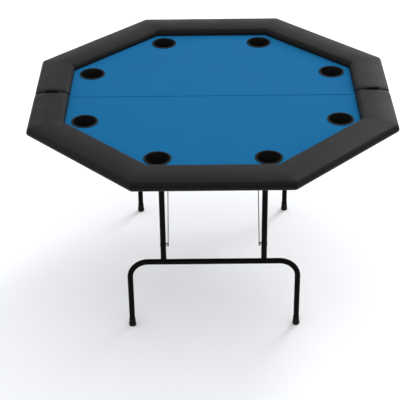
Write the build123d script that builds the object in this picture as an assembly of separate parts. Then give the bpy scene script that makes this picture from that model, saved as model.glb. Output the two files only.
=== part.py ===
"""Folding octagonal poker table in millimetres: two padded half tops, hinged at the rails to close felt to felt.

X runs along the fold line, Y across it with the front half at -Y, and Z up from the floor.
The origin is on the floor under the table's centre. The rear half is the front half turned 180 degrees about Z.
"""

from build123d import *
import math
import os

# Driving dimensions of the top
ACROSS_FLATS = 1219.0
CROWN_Z = 724.0
FELT_Z = 698.5
BOARD_TOP = 696.5
BOARD_BOTTOM = 686.5
RAIL_INNER = 489.0
FELT_TUCK = 7.0
BOARD_EDGE = 597.0
CORE_INNER = 502.0
CORE_OUTER = 590.0
CORE_TOP = 710.0
SEAM_GAP = 0.25
PAD_SEAM_GAP = 1.6

# Cup holders
CUP_RADIUS = 38.0
CUP_WALL = 2.0
CUP_DROP = 30.0
CUP_FLANGE = 44.5
CUP_CIRCLE = 458.7
CUP_CLEARANCE = 0.5

# Folding legs
TUBE = 19.0
TUBE_WALL = 1.5
LEG_Y = 368.5
FOOT_X = 283.5
UPRIGHT_X = 168.5
PIVOT_Z = 643.5
BAR_Z = 264.5
ARCH_BEND = 62.0
TUBE_OVERRUN = 9.0
CAP_HEIGHT = 30.0
CAP_RADIUS = 11.5
CAP_SOLE = 4.0
PIVOT_PIN = 4.0
BRACKET_GAP = 1.0
BRACKET_THICK = 3.0
BRACKET_BACK = 12.0
BRACKET_FRONT = 36.0

# Folding braces between the uprights and the top
RIVET_Z = 334.0
RIVET = 3.0
BRACE_GAP = 6.0
BRACE_THICK = 2.5
BRACE_STEP = 0.5
BRACE_WIDTH = 14.0
ANCHOR_Y = 100.0
KNEE_HEAD = 5.0
KNEE_HEAD_HEIGHT = 1.5

# Hinges across the seam, let into the ends of the side rails
HINGE_X = 548.0
HINGE_LENGTH = 42.0
HINGE_RISE = 0.6
LEAF_BOTTOM = 698.0
LEAF_THICK = 1.2
LEAF_GAP = 0.4
KNUCKLES = 3
KNUCKLE_RADIUS = 2.5
KNUCKLE_GAP = 0.3
HINGE_PIN = 1.2
RUNNING = 0.05

HALF = ACROSS_FLATS / 2
CORNER = math.tan(math.radians(22.5))
FOLD_Z = CROWN_Z + HINGE_RISE
TUBE_R = TUBE / 2
# The brace's planes, from the upright inwards: the lower link, the upper link, and the anchor's ear
LOWER_X = UPRIGHT_X - TUBE_R - BRACE_GAP
UPPER_X = LOWER_X - BRACE_THICK - BRACE_STEP
EAR_X = UPPER_X - BRACE_THICK - BRACE_STEP
# The two links lie in line when the leg is out, and side by side when it is folded
STAY_RUN = LEG_Y - ANCHOR_Y
STAY_RISE = PIVOT_Z - RIVET_Z
STAY_LENGTH = math.hypot(STAY_RUN, STAY_RISE)
LINK_STEP = ANCHOR_Y - (LEG_Y - STAY_RISE)
LOWER_LENGTH = (STAY_LENGTH + LINK_STEP) / 2
UPPER_LENGTH = (STAY_LENGTH - LINK_STEP) / 2
CUPS = [
    (CUP_CIRCLE * math.cos(math.radians(angle)), CUP_CIRCLE * math.sin(math.radians(angle)))
    for angle in (202.5, 247.5, 292.5, 337.5)
]
SIDES = {
    "left_end": (180.0, 180.0, 202.5),
    "left_corner": (225.0, 202.5, 247.5),
    "middle": (270.0, 247.5, 292.5),
    "right_corner": (315.0, 292.5, 337.5),
    "right_end": (360.0, 337.5, 360.0),
}


def disc(radius, x, y, low, high):
    """An upright cylinder from one height to another."""
    return Pos(x, y, (low + high) / 2) * Cylinder(radius, high - low)


def rod(radius, x_low, x_high, y, z):
    """A cylinder along X."""
    return Pos((x_low + x_high) / 2, y, z) * Rot(0, 90, 0) * Cylinder(radius, x_high - x_low)


def slab(x_low, x_high, y_low, y_high, z_low, z_high):
    """A block between two corners."""
    centre = Pos((x_low + x_high) / 2, (y_low + y_high) / 2, (z_low + z_high) / 2)
    return centre * Box(x_high - x_low, y_high - y_low, z_high - z_low)


def half_octagon(apothem, low, high, gap=SEAM_GAP):
    """The front half of an upright octagonal prism."""
    corner = apothem * CORNER
    outline = Polyline(
        (-apothem, -gap), (-apothem, -corner), (-corner, -apothem),
        (corner, -apothem), (apothem, -corner), (apothem, -gap), close=True,
    )
    return Pos(0, 0, low) * extrude(make_face(outline), high - low)


def wedge(start, end, gap=0.0):
    """The space between two upright planes through the table's centre, clipped at the fold line."""
    reach = 2 * ACROSS_FLATS
    ends = [(reach * math.cos(math.radians(a)), reach * math.sin(math.radians(a))) for a in (start, end)]
    space = Pos(0, 0, BOARD_BOTTOM - 50) * extrude(make_face(Polyline((0, 0), *ends, close=True)), 200)
    return space & slab(-reach, reach, -reach, -gap, 0, 2 * CROWN_Z)


def along_side(section, angle):
    """Sweeps a section, drawn as (distance from centre, height), along the octagon side that faces an angle."""
    prism = extrude(Plane.XZ * section, HALF, both=True)
    return Rot(0, 0, angle) * prism


def pad_section():
    """The padded rail: foam and cover around the core strip and the board's edge."""
    inner = ThreePointArc((RAIL_INNER, FELT_Z), (RAIL_INNER + 3.6, CROWN_Z - 10), (RAIL_INNER + 15, CROWN_Z - 3.5))
    crown = ThreePointArc(inner @ 1, (548, CROWN_Z), (590, CROWN_Z - 3.5))
    side = ThreePointArc(crown @ 1, (HALF, CROWN_Z - 20), (BOARD_EDGE, BOARD_BOTTOM))
    tuck = RAIL_INNER + FELT_TUCK
    inside = Polyline(
        side @ 1, (BOARD_EDGE, BOARD_TOP), (CORE_OUTER, BOARD_TOP), (CORE_OUTER, CORE_TOP),
        (CORE_INNER, CORE_TOP), (CORE_INNER, BOARD_TOP), (tuck, BOARD_TOP), (tuck, FELT_Z), inner @ 0,
    )
    return make_face([*inner.edges(), *crown.edges(), *side.edges(), *inside.edges()])


def core_section():
    """The wooden strip under the foam."""
    width = CORE_OUTER - CORE_INNER
    return make_face(
        Pos((CORE_OUTER + CORE_INNER) / 2, (CORE_TOP + BOARD_TOP) / 2) * Rectangle(width, CORE_TOP - BOARD_TOP)
    )


def top_parts():
    """Board, felt, rail cores and pads of the front half."""
    holes = [disc(CUP_RADIUS + CUP_WALL + CUP_CLEARANCE, x, y, 0, CROWN_Z) for x, y in CUPS]
    knuckle_room = [
        rod(KNUCKLE_RADIUS + 0.4, x - HINGE_LENGTH / 2 - 1.5, x + HINGE_LENGTH / 2 + 1.5, 0, FOLD_Z)
        for x in (-HINGE_X, HINGE_X)
    ]
    parts = {
        "board": half_octagon(BOARD_EDGE, BOARD_BOTTOM, BOARD_TOP) - holes,
        "felt": half_octagon(RAIL_INNER + FELT_TUCK, BOARD_TOP, FELT_Z) - holes,
    }
    cores = []
    for name, (facing, start, end) in SIDES.items():
        pad = along_side(pad_section(), facing) & wedge(start, end, PAD_SEAM_GAP)
        parts[f"rail_pad_{name}"] = pad - knuckle_room if name.endswith("_end") else pad
        cores.append(along_side(core_section(), facing) & wedge(start, end, PAD_SEAM_GAP))
    parts["rail_cores"] = cores
    return parts


def cup_holder(x, y):
    """A moulded cup with a flange that rests on the felt."""
    bottom = BOARD_BOTTOM - CUP_DROP
    outer = disc(CUP_RADIUS + CUP_WALL, x, y, bottom, FELT_Z)
    flange = fillet(disc(CUP_FLANGE, x, y, FELT_Z, FELT_Z + 2).edges().group_by(Axis.Z)[-1], 1.2)
    return outer + flange - disc(CUP_RADIUS, x, y, bottom + CUP_WALL, CROWN_Z)


def leg_place(shape):
    """Puts a shape drawn with the leg's pivot at the origin in its place."""
    return Pos(0, -LEG_Y, PIVOT_Z) * shape


def leg_parts():
    """The front leg: an arched foot tube, two uprights, rubber caps, pivot bolts and brace rivets."""
    bar = BAR_Z - PIVOT_Z
    floor = -PIVOT_Z
    rivet = RIVET_Z - PIVOT_Z
    foot = floor + CAP_SOLE
    path = FilletPolyline(
        (-FOOT_X, 0, foot), (-FOOT_X, 0, bar), (FOOT_X, 0, bar), (FOOT_X, 0, foot), radius=ARCH_BEND
    )
    start = Plane(origin=path @ 0, z_dir=path % 0)
    arch_skin = sweep(start * Circle(TUBE_R), path)
    arch = arch_skin - sweep(start * Circle(TUBE_R - TUBE_WALL), path)
    parts = {"foot_arch": leg_place(arch)}
    bolts = []
    rivets = []
    for side, sign in (("left", -1), ("right", 1)):
        x = sign * UPRIGHT_X
        tube = disc(TUBE_R, x, 0, bar, TUBE_OVERRUN) - disc(TUBE_R - TUBE_WALL, x, 0, bar, TUBE_OVERRUN)
        tube -= rod(TUBE_R, -FOOT_X, FOOT_X, 0, bar)
        tube -= rod(PIVOT_PIN, x - TUBE, x + TUBE, 0, 0)
        tube -= rod(RIVET, x - TUBE, x + TUBE, 0, rivet)
        parts[f"leg_upright_{side}"] = leg_place(tube)
        parts[f"foot_cap_{side}"] = foot_cap(sign * FOOT_X, floor)
        inner, outer = x - sign * (TUBE_R - 0.1), x + sign * (TUBE_R + BRACKET_GAP + BRACKET_THICK)
        head = outer + sign * 0.2
        bolts.append(leg_place(
            rod(PIVOT_PIN, *sorted((inner, head)), 0, 0) + rod(7, *sorted((head, head + sign * 3.5)), 0, 0)
        ))
        far = sign * (LOWER_X - BRACE_THICK - RUNNING)
        near = x + sign * (TUBE_R + 0.1)
        collar = x - sign * TUBE_R
        rivets.append(leg_place(
            rod(RIVET, *sorted((far, near)), 0, rivet)
            + rod(5.5, *sorted((far, far - sign * 1.2)), 0, rivet)
            + rod(6.0, *sorted((sign * (LOWER_X + RUNNING), collar)), 0, rivet)
            + rod(5.0, *sorted((near, near + sign * 1.4)), 0, rivet)
        ))
    parts["leg_pivot_bolts"] = bolts
    parts["brace_rivets"] = rivets
    return parts


def foot_cap(x, floor):
    """A rubber cap on a foot tube, swelling to a round sole that is cut flat on the floor."""
    outline = [
        Polyline((0, floor - 8), (CAP_RADIUS - 1.6, floor - 8)),
        ThreePointArc((CAP_RADIUS - 1.6, floor - 8), (CAP_RADIUS + 0.6, floor + 7), (TUBE_R + 1.4, floor + 16)),
        Polyline((TUBE_R + 1.4, floor + 16), (TUBE_R + 1.1, floor + CAP_HEIGHT), (0, floor + CAP_HEIGHT), (0, floor - 8)),
    ]
    face = Plane.XZ * make_face([edge for piece in outline for edge in piece.edges()])
    cap = revolve(face, Axis.Z, 360) - disc(TUBE_R, 0, 0, floor + CAP_SOLE, floor + 2 * CAP_HEIGHT)
    return leg_place(Pos(x, 0, 0) * cap) - slab(-HALF, HALF, -ACROSS_FLATS, ACROSS_FLATS, -100, 0)


def link(length, face, y, z, lean):
    """A flat bar with round ends along the leaning line from (y, z), with its outer face at X = face."""
    blank = Rot(0, 90, 0) * extrude(SlotCenterToCenter(length, BRACE_WIDTH), BRACE_THICK / 2, both=True)
    middle = abs(face) - BRACE_THICK / 2
    return Pos(math.copysign(middle, face), y, z) * Rot(lean, 0, 0) * Pos(0, 0, length / 2) * blank


def brace_parts():
    """Two folding braces: a lower link on each upright and an upper link on each anchor, with the knee's rivet heads."""
    lean = math.degrees(math.atan2(STAY_RUN, STAY_RISE))
    knee_y = -ANCHOR_Y - UPPER_LENGTH * math.sin(math.radians(lean))
    knee_z = PIVOT_Z - UPPER_LENGTH * math.cos(math.radians(lean))
    parts = {}
    for side, sign in (("left", -1), ("right", 1)):
        lower_face, upper_face = sign * LOWER_X, sign * UPPER_X
        eye = rod(RIVET + RUNNING, *sorted((sign * EAR_X, sign * (LOWER_X + 1))), -LEG_Y, RIVET_Z)
        lower = link(LOWER_LENGTH, lower_face, -LEG_Y, RIVET_Z, -lean) - eye
        outer_head = sorted((lower_face, lower_face + sign * KNEE_HEAD_HEIGHT))
        parts[f"brace_lower_link_{side}"] = lower + rod(KNEE_HEAD, *outer_head, knee_y, knee_z)
        hole = rod(RIVET + RUNNING, *sorted((sign * EAR_X, sign * LOWER_X)), -ANCHOR_Y, PIVOT_Z)
        upper = link(UPPER_LENGTH, upper_face, -ANCHOR_Y, PIVOT_Z, 180 - lean) - hole
        back = upper_face - sign * BRACE_THICK
        inner_head = sorted((back, back - sign * KNEE_HEAD_HEIGHT))
        parts[f"brace_upper_link_{side}"] = upper + rod(KNEE_HEAD, *inner_head, knee_y, knee_z)
    return parts


def under_top_parts():
    """Leg brackets and brace anchors, with their screws, all under the front board."""
    brackets, anchors, screws = [], [], []
    for sign in (-1, 1):
        ear = sign * (UPRIGHT_X + TUBE_R + BRACKET_GAP)
        back = ear + sign * BRACKET_THICK
        tip = ear + sign * 40
        y = -LEG_Y
        base = slab(*sorted((ear, tip)), y - BRACKET_BACK, y + BRACKET_FRONT,
                    BOARD_BOTTOM - BRACKET_THICK, BOARD_BOTTOM)
        plate = slab(*sorted((ear, back)), y - BRACKET_BACK, y + BRACKET_BACK, PIVOT_Z, BOARD_BOTTOM)
        plate += rod(BRACKET_BACK, *sorted((ear, back)), y, PIVOT_Z)
        bracket = base + plate - rod(PIVOT_PIN + RUNNING, *sorted((ear - 5 * sign, tip)), y, PIVOT_Z)
        face = sign * EAR_X
        inner = face - sign * BRACE_THICK
        foot = slab(*sorted((face, face - sign * 26)), -ANCHOR_Y - 19, -ANCHOR_Y + 19,
                    BOARD_BOTTOM - BRACKET_THICK, BOARD_BOTTOM)
        tab = slab(*sorted((face, inner)), -ANCHOR_Y - 8, -ANCHOR_Y + 8, PIVOT_Z, BOARD_BOTTOM)
        tab += rod(8, *sorted((face, inner)), -ANCHOR_Y, PIVOT_Z)
        pin = rod(RIVET, *sorted((face, sign * UPPER_X)), -ANCHOR_Y, PIVOT_Z)
        pin += rod(5, *sorted((inner, inner - sign * 1.4)), -ANCHOR_Y, PIVOT_Z)
        anchor = foot + tab + pin
        bracket_places = [(ear + sign * 28, y + along) for along in (-4, 28)]
        anchor_places = [(face - sign * 17, -ANCHOR_Y + along) for along in (-13, 13)]
        for place in bracket_places + anchor_places:
            shank = disc(2.2, *place, BOARD_BOTTOM - BRACKET_THICK, BOARD_BOTTOM)
            bracket -= shank
            anchor -= shank
            screws.append(shank + disc(4.2, *place, BOARD_BOTTOM - BRACKET_THICK - 2, BOARD_BOTTOM - BRACKET_THICK))
        brackets.append(bracket)
        anchors.append(anchor)
    return {"leg_brackets": brackets, "brace_anchors": anchors, "bracket_screws": screws}


def hinge_screws():
    """Countersunk screws that hold the front hinge leaves to the end grain of the rail cores."""
    screws = []
    face = -LEAF_GAP - 0.05
    for x in (-HINGE_X, HINGE_X):
        for offset in (-13, 13):
            place = Pos(x + offset, face, (CORE_TOP + BOARD_TOP) / 2) * Rot(90, 0, 0)
            head = place * Pos(0, 0, 0.4) * Cylinder(2.8, 0.8)
            screws.append(head + place * Pos(0, 0, 8) * Cylinder(1.5, 16))
    return screws


def hinge_leaves(odd, screws):
    """The front leaves of both hinges. The two halves carry alternate knuckles."""
    pitch = HINGE_LENGTH / KNUCKLES
    leaves = []
    for x in (-HINGE_X, HINGE_X):
        low, high = x - HINGE_LENGTH / 2, x + HINGE_LENGTH / 2
        leaf = slab(low, high, -LEAF_GAP - LEAF_THICK, -LEAF_GAP, LEAF_BOTTOM, FOLD_Z)
        for i in range(KNUCKLES):
            start, end = low + i * pitch, low + (i + 1) * pitch
            leaf -= rod(KNUCKLE_RADIUS + KNUCKLE_GAP, start, end, 0, FOLD_Z)
            if i % 2 == odd:
                knuckle = rod(KNUCKLE_RADIUS, start + KNUCKLE_GAP / 2, end - KNUCKLE_GAP / 2, 0, FOLD_Z)
                web = slab(start + KNUCKLE_GAP / 2, end - KNUCKLE_GAP / 2, -LEAF_GAP - LEAF_THICK, -LEAF_GAP,
                           LEAF_BOTTOM + 10, FOLD_Z)
                leaf += knuckle + web
        bore = HINGE_PIN + (RUNNING if odd else 0)
        leaves.append(leaf - rod(bore, low - 1, high + 1, 0, FOLD_Z) - screws)
    return leaves


def hinge_pins():
    """The pins of the two fold hinges."""
    return [rod(HINGE_PIN, x - HINGE_LENGTH / 2, x + HINGE_LENGTH / 2, 0, FOLD_Z) for x in (-HINGE_X, HINGE_X)]


def solids_of(shape):
    """Every solid in a shape or a list of shapes."""
    shapes = shape if isinstance(shape, list) else [shape]
    return [solid for piece in shapes for solid in piece.solids()]


def half_parts(odd):
    """Every sub-part of one half, drawn in the front half's place."""
    screws = hinge_screws()
    parts = top_parts()
    parts["rail_cores"] = [core - screws for core in parts["rail_cores"]]
    parts["hinge_screws"] = screws
    parts["hinge_leaves"] = hinge_leaves(odd, screws)
    parts.update({f"cup_holder_{i + 1}": cup_holder(x, y) for i, (x, y) in enumerate(CUPS)})
    parts.update(leg_parts())
    parts.update(brace_parts())
    parts.update(under_top_parts())
    return parts


def main():
    """Writes one STEP file for each sub-part."""
    os.makedirs("parts", exist_ok=True)
    nodes = {"hinge_pins": hinge_pins()}
    for half, turn in (("front", 0), ("rear", 180)):
        for name, shape in half_parts(odd=int(half == "rear")).items():
            nodes[f"{half}_{name}"] = [Rot(0, 0, turn) * solid for solid in solids_of(shape)]
    for name, shape in nodes.items():
        export_step(Compound(children=solids_of(shape)), f"parts/{name}.step")
    print(len(nodes), "nodes")


main()
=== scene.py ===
"""Looks of the folding octagonal poker table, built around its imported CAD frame.

Lengths are in metres. X runs along the fold line, -Y is the front half and Z is up from the floor.
"""

import logging
import math
from dataclasses import dataclass, field
from enum import Enum

import bmesh
import bpy
from mathutils import Matrix, Vector, noise


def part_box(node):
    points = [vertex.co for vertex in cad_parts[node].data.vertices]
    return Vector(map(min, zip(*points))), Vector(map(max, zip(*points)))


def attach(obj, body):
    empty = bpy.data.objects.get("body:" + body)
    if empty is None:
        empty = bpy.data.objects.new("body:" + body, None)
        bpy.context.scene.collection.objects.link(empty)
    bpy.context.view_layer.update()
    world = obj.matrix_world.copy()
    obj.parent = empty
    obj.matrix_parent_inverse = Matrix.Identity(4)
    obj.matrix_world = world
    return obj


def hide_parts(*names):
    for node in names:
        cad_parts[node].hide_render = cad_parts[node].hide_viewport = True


LOG = logging.getLogger("poker_table")

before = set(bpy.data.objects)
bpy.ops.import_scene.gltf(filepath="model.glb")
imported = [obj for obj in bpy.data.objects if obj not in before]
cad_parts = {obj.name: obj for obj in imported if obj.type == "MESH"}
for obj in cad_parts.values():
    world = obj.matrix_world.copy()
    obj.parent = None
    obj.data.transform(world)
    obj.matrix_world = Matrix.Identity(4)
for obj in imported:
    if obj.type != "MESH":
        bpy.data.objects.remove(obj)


class Half(Enum):
    """The two halves of the top, each with the start of its node names and its side of the fold line."""

    FRONT = ("front", -1)
    REAR = ("rear", 1)

    @property
    def prefix(self) -> str:
        """The start of this half's node names."""
        return self.value[0]

    @property
    def side(self) -> int:
        """-1 in front of the fold line and 1 behind it."""
        return self.value[1]

    @property
    def body(self) -> str:
        """The CAD body that the half's top belongs to."""
        return f"{self.prefix}_half"


class Nap(Enum):
    """How a fine surface texture is laid out."""

    LEATHER = "leather"
    FIBRE = "fibre"
    PEBBLE = "pebble"


@dataclass(frozen=True)
class Finish:
    """A painted, moulded or woven finish with procedural grain.

    Attributes:
        name: The material's name.
        dark: The colour in the hollows of the slow colour variation.
        light: The colour on its high places.
        roughness: The mean roughness.
        metallic: 1 for bare metal and 0 otherwise.
        grain_size: The size of the fine grain in metres.
        grain_depth: The height of the fine grain in metres.
        patch_size: The size of the slow colour patches in metres.
        nap: The layout of the grain.
        sheen: The strength of the fabric sheen.
        sheen_roughness: The roughness of the fabric sheen.
        specular: The specular level.
        wear: How far the roughness wanders.
        stretch: The grain's stretch along X, Y and Z.
    """

    name: str
    dark: tuple[float, float, float]
    light: tuple[float, float, float]
    roughness: float
    metallic: float = 0.0
    grain_size: float = 0.0015
    grain_depth: float = 0.0001
    patch_size: float = 0.06
    nap: Nap = Nap.PEBBLE
    sheen: float = 0.0
    sheen_roughness: float = 0.5
    specular: float = 0.5
    wear: float = 0.06
    stretch: tuple[float, float, float] = (1.0, 1.0, 1.0)

    def build(self) -> bpy.types.Material:
        """Makes the material.

        Returns:
            The new material.
        """
        material = bpy.data.materials.new(self.name)
        material.use_nodes = True
        nodes, links = material.node_tree.nodes, material.node_tree.links
        shader = nodes["Principled BSDF"]
        shader.inputs["Metallic"].default_value = self.metallic
        shader.inputs["Specular IOR Level"].default_value = self.specular
        shader.inputs["Sheen Weight"].default_value = self.sheen
        shader.inputs["Sheen Roughness"].default_value = self.sheen_roughness
        material.diffuse_color = (*self.light, 1.0)
        place = nodes.new("ShaderNodeTexCoord")
        spread = nodes.new("ShaderNodeMapping")
        spread.inputs["Scale"].default_value = self.stretch
        links.new(place.outputs["Object"], spread.inputs["Vector"])
        patches = nodes.new("ShaderNodeTexNoise")
        patches.inputs["Scale"].default_value = 1.0 / self.patch_size
        patches.inputs["Detail"].default_value = 4.0
        links.new(place.outputs["Object"], patches.inputs["Vector"])
        fine = self._grain(nodes, links, spread.outputs["Vector"])
        blend = nodes.new("ShaderNodeMath")
        blend.operation = "MULTIPLY_ADD"
        blend.inputs[1].default_value = 0.45
        links.new(fine, blend.inputs[0])
        half = nodes.new("ShaderNodeMath")
        half.operation = "MULTIPLY"
        half.inputs[1].default_value = 0.55
        links.new(patches.outputs["Fac"], half.inputs[0])
        links.new(half.outputs["Value"], blend.inputs[2])
        colours = nodes.new("ShaderNodeValToRGB")
        colours.color_ramp.elements[0].position = 0.3
        colours.color_ramp.elements[0].color = (*self.dark, 1.0)
        colours.color_ramp.elements[1].position = 0.7
        colours.color_ramp.elements[1].color = (*self.light, 1.0)
        links.new(blend.outputs["Value"], colours.inputs["Fac"])
        links.new(colours.outputs["Color"], shader.inputs["Base Color"])
        rough = nodes.new("ShaderNodeMapRange")
        rough.inputs["From Min"].default_value = 0.3
        rough.inputs["From Max"].default_value = 0.7
        rough.inputs["To Min"].default_value = self.roughness - self.wear
        rough.inputs["To Max"].default_value = min(1.0, self.roughness + self.wear)
        links.new(patches.outputs["Fac"], rough.inputs["Value"])
        links.new(rough.outputs["Result"], shader.inputs["Roughness"])
        bump = nodes.new("ShaderNodeBump")
        bump.inputs["Strength"].default_value = 1.0
        bump.inputs["Distance"].default_value = self.grain_depth
        links.new(fine, bump.inputs["Height"])
        links.new(bump.outputs["Normal"], shader.inputs["Normal"])
        return material

    def _grain(
        self, nodes: bpy.types.Nodes, links: bpy.types.NodeLinks, where: bpy.types.NodeSocket,
    ) -> bpy.types.NodeSocket:
        """Makes the fine grain.

        Args:
            nodes: The material's nodes.
            links: The material's links.
            where: The socket that gives the place on the surface.

        Returns:
            The socket that gives the grain's height.
        """
        if self.nap is Nap.LEATHER:
            cells = nodes.new("ShaderNodeTexVoronoi")
            cells.feature = "DISTANCE_TO_EDGE"
            cells.inputs["Scale"].default_value = 1.0 / self.grain_size
            cells.inputs["Randomness"].default_value = 0.9
            links.new(where, cells.inputs["Vector"])
            soften = nodes.new("ShaderNodeMapRange")
            soften.interpolation_type = "SMOOTHSTEP"
            soften.inputs["From Max"].default_value = 0.28
            links.new(cells.outputs["Distance"], soften.inputs["Value"])
            return soften.outputs["Result"]
        grain = nodes.new("ShaderNodeTexNoise")
        grain.inputs["Scale"].default_value = 1.0 / self.grain_size
        grain.inputs["Detail"].default_value = 6.0 if self.nap is Nap.FIBRE else 2.0
        grain.inputs["Roughness"].default_value = 0.7 if self.nap is Nap.FIBRE else 0.5
        grain.inputs["Distortion"].default_value = 1.5 if self.nap is Nap.FIBRE else 0.0
        links.new(where, grain.inputs["Vector"])
        return grain.outputs["Fac"]


VINYL = Finish(
    "rail_vinyl", (0.0038, 0.0038, 0.0038), (0.0068, 0.0068, 0.0068), 0.42, grain_size=0.0021,
    grain_depth=0.00022, nap=Nap.LEATHER, specular=0.085, wear=0.05, patch_size=0.09,
)
FELT = Finish(
    "blue_felt", (0.0003, 0.106, 0.262), (0.0007, 0.117, 0.281), 0.95, grain_size=0.0018,
    grain_depth=0.00025, nap=Nap.FIBRE, sheen=0.05, sheen_roughness=0.45, specular=0.06, wear=0.03,
)
POWDER_COAT = Finish(
    "black_powder_coat", (0.0012, 0.0012, 0.0012), (0.0022, 0.0022, 0.0022), 0.4, grain_size=0.0009,
    grain_depth=0.00005, specular=0.04,
)
BRACKET_PAINT = Finish(
    "bracket_paint", (0.016, 0.016, 0.017), (0.03, 0.03, 0.031), 0.42, specular=0.3, grain_size=0.0009,
    grain_depth=0.00004,
)
ZINC = Finish(
    "zinc_plate", (0.36, 0.36, 0.35), (0.55, 0.54, 0.52), 0.33, metallic=1.0, grain_size=0.0012,
    grain_depth=0.00002, patch_size=0.004,
)
BLACK_ZINC = Finish(
    "black_hinge", (0.006, 0.006, 0.006), (0.010, 0.010, 0.010), 0.5, grain_size=0.0008,
    grain_depth=0.00002, specular=0.06,
)
CUP_PLASTIC = Finish(
    "cup_plastic", (0.008, 0.008, 0.008), (0.012, 0.012, 0.012), 0.45, grain_size=0.0008,
    grain_depth=0.00004, specular=0.035, wear=0.05,
)
RUBBER = Finish(
    "cap_rubber", (0.005, 0.005, 0.005), (0.009, 0.009, 0.009), 0.7, grain_size=0.0012,
    grain_depth=0.00006, specular=0.08, wear=0.1,
)
BOARD_FACE = Finish(
    "board_face", (0.012, 0.0115, 0.011), (0.026, 0.025, 0.024), 0.62, grain_size=0.0016,
    grain_depth=0.00005, nap=Nap.FIBRE, stretch=(0.12, 1.0, 1.0), patch_size=0.12,
)
PLYWOOD = Finish(
    "plywood", (0.36, 0.25, 0.15), (0.60, 0.46, 0.31), 0.7, grain_size=0.003, grain_depth=0.0001,
    nap=Nap.FIBRE, stretch=(0.1, 1.0, 1.0), patch_size=0.03,
)


@dataclass
class Wardrobe:
    """Builds each finish once and puts it on objects.

    Attributes:
        made: The materials made so far, by name.
    """

    made: dict[str, bpy.types.Material] = field(default_factory=dict)

    def dress(self, obj: bpy.types.Object, finish: Finish) -> None:
        """Gives an object one finish in every material slot.

        Args:
            obj: The object.
            finish: The finish.
        """
        if finish.name not in self.made:
            self.made[finish.name] = finish.build()
        material = self.made[finish.name]
        if not obj.data.materials:
            obj.data.materials.append(material)
        for slot in obj.material_slots:
            slot.material = material


def smooth_by_angle(obj: bpy.types.Object, degrees: float = 35.0) -> None:
    """Smooths an object's faces and keeps the edges sharper than an angle.

    Args:
        obj: The object.
        degrees: The angle.
    """
    mesh = obj.data
    mesh.shade_smooth()
    mesh.set_sharp_from_angle(angle=math.radians(degrees))


def add_piece(name: str, builder: bmesh.types.BMesh) -> bpy.types.Object:
    """Makes a scene object from a bmesh and frees it.

    Args:
        name: The object's name.
        builder: The geometry.

    Returns:
        The new object.
    """
    bmesh.ops.recalc_face_normals(builder, faces=builder.faces)
    mesh = bpy.data.meshes.new(name)
    builder.to_mesh(mesh)
    builder.free()
    obj = bpy.data.objects.new(name, mesh)
    bpy.context.scene.collection.objects.link(obj)
    return obj


def arc_points(start: Vector, through: Vector, end: Vector, count: int) -> list[Vector]:
    """Points along the circular arc through three points, without the last one.

    Args:
        start: The arc's first point.
        through: A point on the arc.
        end: The arc's last point.
        count: How many points to give.

    Returns:
        The points in order.
    """
    b, c = through - start, end - start
    cross = 2 * (b.x * c.y - b.y * c.x)
    centre = start + Vector((
        (c.y * b.length_squared - b.y * c.length_squared) / cross,
        (b.x * c.length_squared - c.x * b.length_squared) / cross,
    ))
    first = math.atan2(start.y - centre.y, start.x - centre.x)
    last = math.atan2(end.y - centre.y, end.x - centre.x)
    turn = (last - first + math.pi) % (2 * math.pi) - math.pi
    radius = (start - centre).length
    return [
        centre + radius * Vector((math.cos(first + turn * i / count), math.sin(first + turn * i / count)))
        for i in range(count)
    ]


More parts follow.
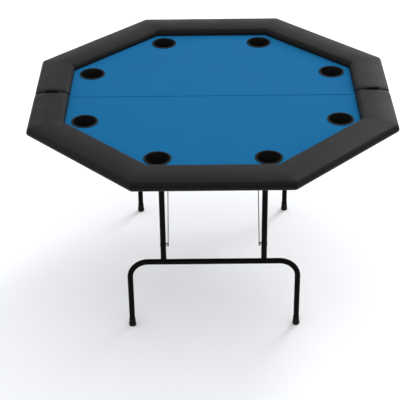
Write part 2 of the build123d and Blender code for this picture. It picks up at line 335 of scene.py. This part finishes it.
@dataclass
class RailCover:
    """The padded rail of one half: foam under one continuous vinyl cover, tucked in along the felt.

    Attributes:
        half: The half of the top.
        step: The spacing of the stations along the rail.
        end_round: How far from the seam the pillow end starts to round down.
        end_drop: How far the pillow end is drawn in at the seam.
        inner_corner: The corner rounding at the rail's inner edge.
        outer_corner: The corner rounding at its outer edge.
        ripple: The height of the slow unevenness of the foam.
        clear: The gap to the wood inside and to the felt.
        hem_thickness: How far the folded hem stands below the board.
        hem_reach: How far the hem runs in from the core's outer face.
        board_overhang: How far the board reaches out past the core, with its gap.
        lip_thickness: The thickness of the foam on the core's inner face.
    """

    half: Half
    step: float = 0.011
    end_round: float = 0.024
    end_drop: float = 0.0075
    inner_corner: float = 0.003
    outer_corner: float = 0.005
    ripple: float = 0.0005
    clear: float = 0.0003
    hem_thickness: float = 0.0008
    hem_reach: float = 0.018
    board_overhang: float = 0.0074
    lip_thickness: float = 0.0055

    def __post_init__(self) -> None:
        """Reads the rail's sizes from the CAD pads."""
        low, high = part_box(f"{self.half.prefix}_rail_pad_middle")
        felt_low, felt_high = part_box(f"{self.half.prefix}_felt")
        core_low, core_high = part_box(f"{self.half.prefix}_rail_cores")
        self.outer = max(abs(low[1]), abs(high[1]))
        self.bottom = low[2]
        self.crown = high[2]
        self.felt = felt_high[2]
        self.tuck = felt_high[0]
        self.inner = self.tuck - 0.007
        self.core_top = core_high[2]
        self.core_bottom = core_low[2]
        self.core_outer = core_high[0]
        end_low, end_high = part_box(f"{self.half.prefix}_rail_pad_left_end")
        self.seam = min(abs(end_low[1]), abs(end_high[1]))

    def profile(self) -> list[tuple[Vector, float]]:
        """The rail's closed section, as distances from the table's centre and heights.

        Returns:
            The section's points, each with 1 where the foam is free to be drawn in and 0 where it is held.
        """
        foot = Vector((self.inner, self.felt - self.clear))
        slope = Vector((self.inner + 0.0032, self.crown - 0.0105))
        shoulder = Vector((self.inner + 0.014, self.crown - 0.0032))
        crest = Vector(((self.inner + self.outer) / 2 + 0.004, self.crown - 0.0001))
        brow = Vector((self.outer - 0.011, self.crown - 0.0062))
        edge = Vector((self.outer - 0.0045, self.crown - 0.0105))
        band_top = Vector((self.outer - 0.0022, self.crown - 0.0165))
        groove = Vector((self.outer - 0.0042, self.crown - 0.0182))
        band = Vector((self.outer - 0.0012, self.crown - 0.0205))
        cheek = Vector((self.outer - 0.0006, self.bottom + 0.0085))
        heel = Vector((self.outer - 0.0125, self.bottom + 0.0002))
        soft = arc_points(foot, slope, shoulder, 9)
        soft += arc_points(shoulder, crest, brow, 16)
        soft += arc_points(brow, edge, band_top, 5)
        soft += [band_top, groove, band]
        soft += arc_points(band, cheek, heel, 8)[1:]
        hem, board_under = self.bottom - self.hem_thickness, self.bottom - 0.0001
        hem_end, board_side = self.core_outer - self.hem_reach, self.core_outer + self.board_overhang
        lip = self.tuck + self.lip_thickness
        outside, under = self.core_outer + self.clear, self.core_bottom + self.clear
        over, tucked = self.core_top + self.clear, self.tuck + self.clear
        held = [heel, Vector((self.core_outer + 0.004, hem))]
        held += [Vector((hem_end, hem)), Vector((hem_end, board_under)), Vector((board_side, board_under))]
        held += [Vector((board_side, under)), Vector((outside, under)), Vector((outside, over))]
        held += [Vector((lip, over)), Vector((lip, under)), Vector((tucked, under))]
        held += [Vector((tucked, self.felt - self.clear))]
        return [(p, 1.0) for p in soft] + [(p, 0.0) for p in held]

    def stations(self) -> list[tuple[int, float, float]]:
        """The places along the half octagon where the section stands.

        Returns:
            For each station its side from 0 to 4, its share of the way along that side, and its share of
            the way round the corner after that side, or 0 on the straight.
        """
        corner = self.outer * math.tan(math.pi / 8)
        places: list[tuple[int, float, float]] = []
        near = [0.0, 0.0012, 0.003, 0.0055, 0.0085, 0.012, 0.0155, 0.02, 0.026]
        for side in range(5):
            length = corner if side in (0, 4) else 2 * corner
            count = round(length / self.step)
            shares = [i / count for i in range(1, count)]
            if side == 0:
                shares = [d / length for d in near] + [s for s in shares if s * length > near[-1] + 0.004]
            if side == 4:
                shares = [s for s in shares if (1 - s) * length > near[-1] + 0.004]
                shares += [1 - d / length for d in reversed(near)]
            places += [(side, share, 0.0) for share in shares]
            if side < 4:
                places += [(side, 1.0, turn) for turn in (0.0, 0.25, 0.5, 0.75, 1.0)]
        return places

    def place(self, spot: Vector, station: tuple[int, float, float]) -> Vector:
        """Where a section point stands at a station.

        Args:
            spot: The section point.
            station: The station.

        Returns:
            The place on the front half, before the half is turned to its own side.
        """
        side, share, turn = station
        half_side = spot.x * math.tan(math.pi / 8)
        corners = [
            Vector((-spot.x, -self.seam)), Vector((-spot.x, -half_side)), Vector((-half_side, -spot.x)),
            Vector((half_side, -spot.x)), Vector((spot.x, -half_side)), Vector((spot.x, -self.seam)),
        ]
        wide = (spot.x - self.inner) / (self.outer - self.inner)
        cut = self.inner_corner + max(0.0, wide) * (self.outer_corner - self.inner_corner)
        start, end = corners[side], corners[side + 1]
        along = (end - start).normalized()
        first = start if side == 0 else start + along * cut
        last = end if side == 4 else end - along * cut
        if share < 1.0 or side == 4:
            flat = first.lerp(last, share)
        else:
            onward = (corners[side + 2] - end).normalized()
            flat = last.lerp(end, turn).lerp(end.lerp(end + onward * cut, turn), turn)
        return Vector((flat.x, flat.y, spot.y))

    def draw_in(self, spot: Vector, give: float, from_seam: float) -> Vector:
        """Draws a section point in towards the rail's core close to the seam, as a pillow's end is.

        Args:
            spot: The section point.
            give: How far it is free to move.
            from_seam: Its distance from the seam.

        Returns:
            The moved section point.
        """
        if give == 0.0 or from_seam >= self.end_round:
            return spot
        reach = 1.0 - from_seam / self.end_round
        pull = 1.0 - math.sqrt(1.0 - reach * reach)
        heart = Vector(((self.inner + self.outer) / 2, self.core_top - 0.004))
        sideways = 0.55 * (heart.x - spot.x) / (self.outer - heart.x)
        inward = Vector((sideways, -max(0.0, spot.y - heart.y) / 0.018))
        return spot + inward * self.end_drop * pull

    def build(self, wardrobe: Wardrobe) -> bpy.types.Object:
        """Makes the rail cover, dresses it and puts it in place of its CAD pads.

        Args:
            wardrobe: The finishes.

        Returns:
            The new piece.
        """
        section = self.profile()
        turned = Matrix.Rotation(math.pi, 4, "Z") if self.half is Half.REAR else Matrix.Identity(4)
        builder = bmesh.new()
        rings = []
        for station in self.stations():
            seam_distance = abs(self.place(Vector((self.inner, 0)), station).y) - self.seam
            ring = []
            for spot, give in section:
                at = self.place(self.draw_in(spot, give, seam_distance), station)
                if give:
                    away = min(1.0, max(0.0, seam_distance / 0.03))
                    above_felt = min(1.0, max(0.0, (spot.y - self.felt) / 0.01))
                    at.z += self.ripple * away * noise.noise(at * 11.0) * above_felt
                ring.append(builder.verts.new(turned @ at))
            rings.append(ring)
        count = len(section)
        for ring, following in zip(rings, rings[1:]):
            for i in range(count):
                j = (i + 1) % count
                builder.faces.new((ring[i], ring[j], following[j], following[i]))
        builder.faces.new(rings[0])
        builder.faces.new(list(reversed(rings[-1])))
        cover = add_piece(f"{self.half.prefix}_rail_cover", builder)
        smooth_by_angle(cover, 50.0)
        wardrobe.dress(cover, VINYL)
        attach(cover, self.half.body)
        pads = [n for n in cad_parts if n.startswith(f"{self.half.prefix}_rail_pad_")]
        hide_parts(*pads)
        LOG.info("%s: %d faces for %d pads", cover.name, len(cover.data.polygons), len(pads))
        return cover


@dataclass
class HemStaples:
    """Staples that hold the rail cover's hem under the edge of one half board.

    Attributes:
        half: The half of the top.
        spacing: The distance between staples.
        crown: A staple's width.
        wire: Its wire's thickness.
        inset: Its distance in from the board's edge.
    """

    half: Half
    spacing: float = 0.042
    crown: float = 0.0102
    wire: float = 0.0011
    inset: float = 0.016

    def build(self, wardrobe: Wardrobe) -> bpy.types.Object:
        """Makes the staples as one piece.

        Args:
            wardrobe: The finishes.

        Returns:
            The new piece.
        """
        low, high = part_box(f"{self.half.prefix}_board")
        apothem = high[0] - self.inset
        side_length = 2 * apothem * math.tan(math.pi / 8)
        builder = bmesh.new()
        for side in range(8):
            facing = Matrix.Rotation(math.pi / 4 * side, 4, "Z")
            count = int(side_length / self.spacing)
            for i in range(count):
                along = (i + 0.5 - count / 2) * self.spacing
                spot = facing @ Vector((apothem, along, low[2] - 0.0010))
                if spot.y * self.half.side < 0.012:
                    continue
                slew = Matrix.Rotation(0.09 * math.sin(7.0 * i + side), 4, "Z")
                size = Matrix.Diagonal((self.wire, self.crown, 0.0009, 1.0))
                bmesh.ops.create_cube(builder, matrix=Matrix.Translation(spot) @ facing @ slew @ size)
        bmesh.ops.bevel(builder, geom=builder.edges, offset=0.0003, segments=2, affect="EDGES")
        staples = add_piece(f"{self.half.prefix}_hem_staples", builder)
        smooth_by_angle(staples, 60.0)
        wardrobe.dress(staples, ZINC)
        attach(staples, self.half.body)
        LOG.info("%s made", staples.name)
        return staples


@dataclass
class FeltSheet:
    """The felt of one half, stretched over its board and rolled down at the fold line and the cup holes.

    Attributes:
        half: The half of the top.
        roll: The radius of the rolled edges.
        trim: How far the cloth is cut back at the fold line.
    """

    half: Half
    roll: float = 0.0012
    trim: float = 0.0011

    def build(self, wardrobe: Wardrobe) -> bpy.types.Object:
        """Makes the felt in place of its CAD node.

        Args:
            wardrobe: The finishes.

        Returns:
            The new piece.
        """
        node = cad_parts[f"{self.half.prefix}_felt"]
        felt = bpy.data.objects.new(f"{self.half.prefix}_felt_cloth", node.data.copy())
        bpy.context.scene.collection.objects.link(felt)
        felt.data.transform(node.matrix_world)
        builder = bmesh.new()
        builder.from_mesh(felt.data)
        bmesh.ops.remove_doubles(builder, verts=builder.verts, dist=1e-6)
        bmesh.ops.dissolve_limit(builder, angle_limit=0.02, verts=builder.verts, edges=builder.edges)
        for vert in builder.verts:
            if abs(vert.co.y) < self.trim * 2:
                vert.co.y += self.half.side * self.trim
        builder.to_mesh(felt.data)
        builder.free()
        bevel = felt.modifiers.new("rolled_edge", "BEVEL")
        bevel.width = self.roll
        bevel.segments = 4
        bevel.limit_method = "ANGLE"
        bevel.angle_limit = math.radians(50)
        smooth_by_angle(felt)
        wardrobe.dress(felt, FELT)
        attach(felt, self.half.body)
        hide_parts(node.name)
        return felt


@dataclass
class CarriedNodes:
    """The CAD nodes whose shape is right: each gets its finish and softened edges.

    Attributes:
        finishes: The finish for each ending or part of a node's name, first match first.
        soft_edges: The edge rounding for each part of a node's name.
    """

    finishes: dict[str, Finish] = field(default_factory=lambda: {
        "cup_holder": CUP_PLASTIC,
        "foot_cap": RUBBER,
        "foot_arch": POWDER_COAT,
        "leg_upright": POWDER_COAT,
        "brackets": BRACKET_PAINT,
        "brace_anchors": BRACKET_PAINT,
        "link": BRACKET_PAINT,
        "hinge_leaves": BLACK_ZINC,
        "hinge_pins": BLACK_ZINC,
        "screws": ZINC,
        "bolts": ZINC,
        "rivets": ZINC,
        "rail_cores": PLYWOOD,
        "board": BOARD_FACE,
    })
    soft_edges: dict[str, float] = field(default_factory=lambda: {
        "brackets": 0.0006,
        "brace_anchors": 0.0005,
        "link": 0.0005,
        "screws": 0.0005,
        "bolts": 0.0008,
        "cup_holder": 0.0005,
    })

    def build(self, wardrobe: Wardrobe) -> None:
        """Dresses every CAD node that still shows.

        Args:
            wardrobe: The finishes.
        """
        for name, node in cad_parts.items():
            finish = next((f for part, f in self.finishes.items() if part in name), None)
            if finish is None:
                continue
            wardrobe.dress(node, finish)
            width = next((w for part, w in self.soft_edges.items() if part in name), None)
            if width is not None:
                bevel = node.modifiers.new("soft_edges", "BEVEL")
                bevel.width = width
                bevel.segments = 2
                bevel.limit_method = "ANGLE"
                bevel.angle_limit = math.radians(40)
            LOG.info("%s: %s", name, finish.name)


@dataclass
class Studio:
    """The pale floor, the soft lights and the camera.

    Attributes:
        eye: The camera's place.
        yaw: Its turn to the right in degrees.
        pitch: Its tilt down in degrees.
        roll: Its roll in degrees.
        lens: Its focal length in millimetres on a 36 mm sensor.
        shift: The lens shift across and up.
        sky_strength: The strength of the even light from all round.
        sun_strength: The strength of the soft key sun.
        sun_width: Its apparent width in degrees.
        sun_from: The direction that it comes from.
        box_place: Where the side box hangs.
        box_size: The length of its sides.
        box_power: Its power in watts.
        floor_side: The length of the floor's sides.
        floor_colour: The floor's colour.
    """

    eye: tuple[float, float, float] = (-0.0158, -3.864, 2.7055)
    yaw: float = -0.327
    pitch: float = 32.15
    roll: float = -0.713
    lens: float = 113.9
    shift: tuple[float, float] = (-0.006, 0.0)
    sky_strength: float = 1.08
    sun_strength: float = 0.55
    sun_width: float = 16.0
    sun_from: tuple[float, float, float] = (0.50, 0.74, 0.95)
    box_place: tuple[float, float, float] = (2.1, 2.6, 2.0)
    box_size: float = 1.2
    box_power: float = 36.0
    floor_side: float = 60.0
    floor_colour: tuple[float, float, float] = (0.945, 0.957, 0.98)

    def build_floor(self) -> None:
        """Makes the floor."""
        bpy.ops.mesh.primitive_plane_add(size=self.floor_side, location=(0, 0, 0))
        floor = bpy.context.object
        floor.name = "studio_floor"
        material = bpy.data.materials.new("studio_floor")
        material.use_nodes = True
        shader = material.node_tree.nodes["Principled BSDF"]
        shader.inputs["Base Color"].default_value = (*self.floor_colour, 1.0)
        shader.inputs["Roughness"].default_value = 0.9
        shader.inputs["Specular IOR Level"].default_value = 0.1
        floor.data.materials.append(material)

    def add_light(self, name: str, place: tuple[float, float, float], size: float, power: float) -> None:
        """Adds a square soft light that faces the table.

        Args:
            name: The light's name.
            place: Where it hangs.
            size: The length of its sides.
            power: Its power in watts.
        """
        data = bpy.data.lights.new(name, "AREA")
        data.energy = power
        data.size = size
        light = bpy.data.objects.new(name, data)
        light.location = place
        aim = Vector((0, 0, 0.5)) - light.location
        light.rotation_euler = aim.to_track_quat("-Z", "Y").to_euler()
        bpy.context.scene.collection.objects.link(light)

    def build_lights(self) -> None:
        """Adds the even light from all round, the key sun and the side box."""
        world = bpy.data.worlds.new("studio")
        world.use_nodes = True
        sky = world.node_tree.nodes["Background"]
        sky.inputs["Color"].default_value = (1.0, 1.0, 1.0, 1.0)
        sky.inputs["Strength"].default_value = self.sky_strength
        bpy.context.scene.world = world
        data = bpy.data.lights.new("key_sun", "SUN")
        data.energy = self.sun_strength
        data.angle = math.radians(self.sun_width)
        sun = bpy.data.objects.new("key_sun", data)
        sun.rotation_euler = (-Vector(self.sun_from)).to_track_quat("-Z", "Y").to_euler()
        bpy.context.scene.collection.objects.link(sun)
        self.add_light("side_box", self.box_place, self.box_size, self.box_power)
        bpy.context.scene.view_settings.view_transform = "Standard"

    def build_camera(self) -> None:
        """Makes the scene's camera."""
        yaw, pitch, roll = (math.radians(a) for a in (self.yaw, self.pitch, self.roll))
        level = math.cos(pitch)
        forward = Vector((math.sin(yaw) * level, math.cos(yaw) * level, -math.sin(pitch)))
        right = Vector((math.cos(yaw), -math.sin(yaw), 0.0))
        up = right.cross(forward)
        rolled_right = right * math.cos(roll) + up * math.sin(roll)
        rolled_up = up * math.cos(roll) - right * math.sin(roll)
        data = bpy.data.cameras.new("camera")
        data.lens = self.lens
        data.shift_x, data.shift_y = self.shift
        camera = bpy.data.objects.new("camera", data)
        turn = Matrix((rolled_right, rolled_up, -forward)).transposed().to_4x4()
        camera.matrix_world = Matrix.Translation(self.eye) @ turn
        bpy.context.scene.collection.objects.link(camera)
        bpy.context.scene.camera = camera

    def build(self) -> None:
        """Builds the whole studio."""
        self.build_floor()
        self.build_lights()
        self.build_camera()
        LOG.info("studio ready")


def main() -> None:
    """Builds the table's looks in order."""
    logging.basicConfig(level=logging.INFO, format="%(name)s: %(message)s")
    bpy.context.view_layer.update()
    wardrobe = Wardrobe()
    for half in Half:
        RailCover(half).build(wardrobe)
        HemStaples(half).build(wardrobe)
        FeltSheet(half).build(wardrobe)
    CarriedNodes().build(wardrobe)
    Studio().build()
    bpy.context.view_layer.update()


if __name__ == "__main__":
    main()
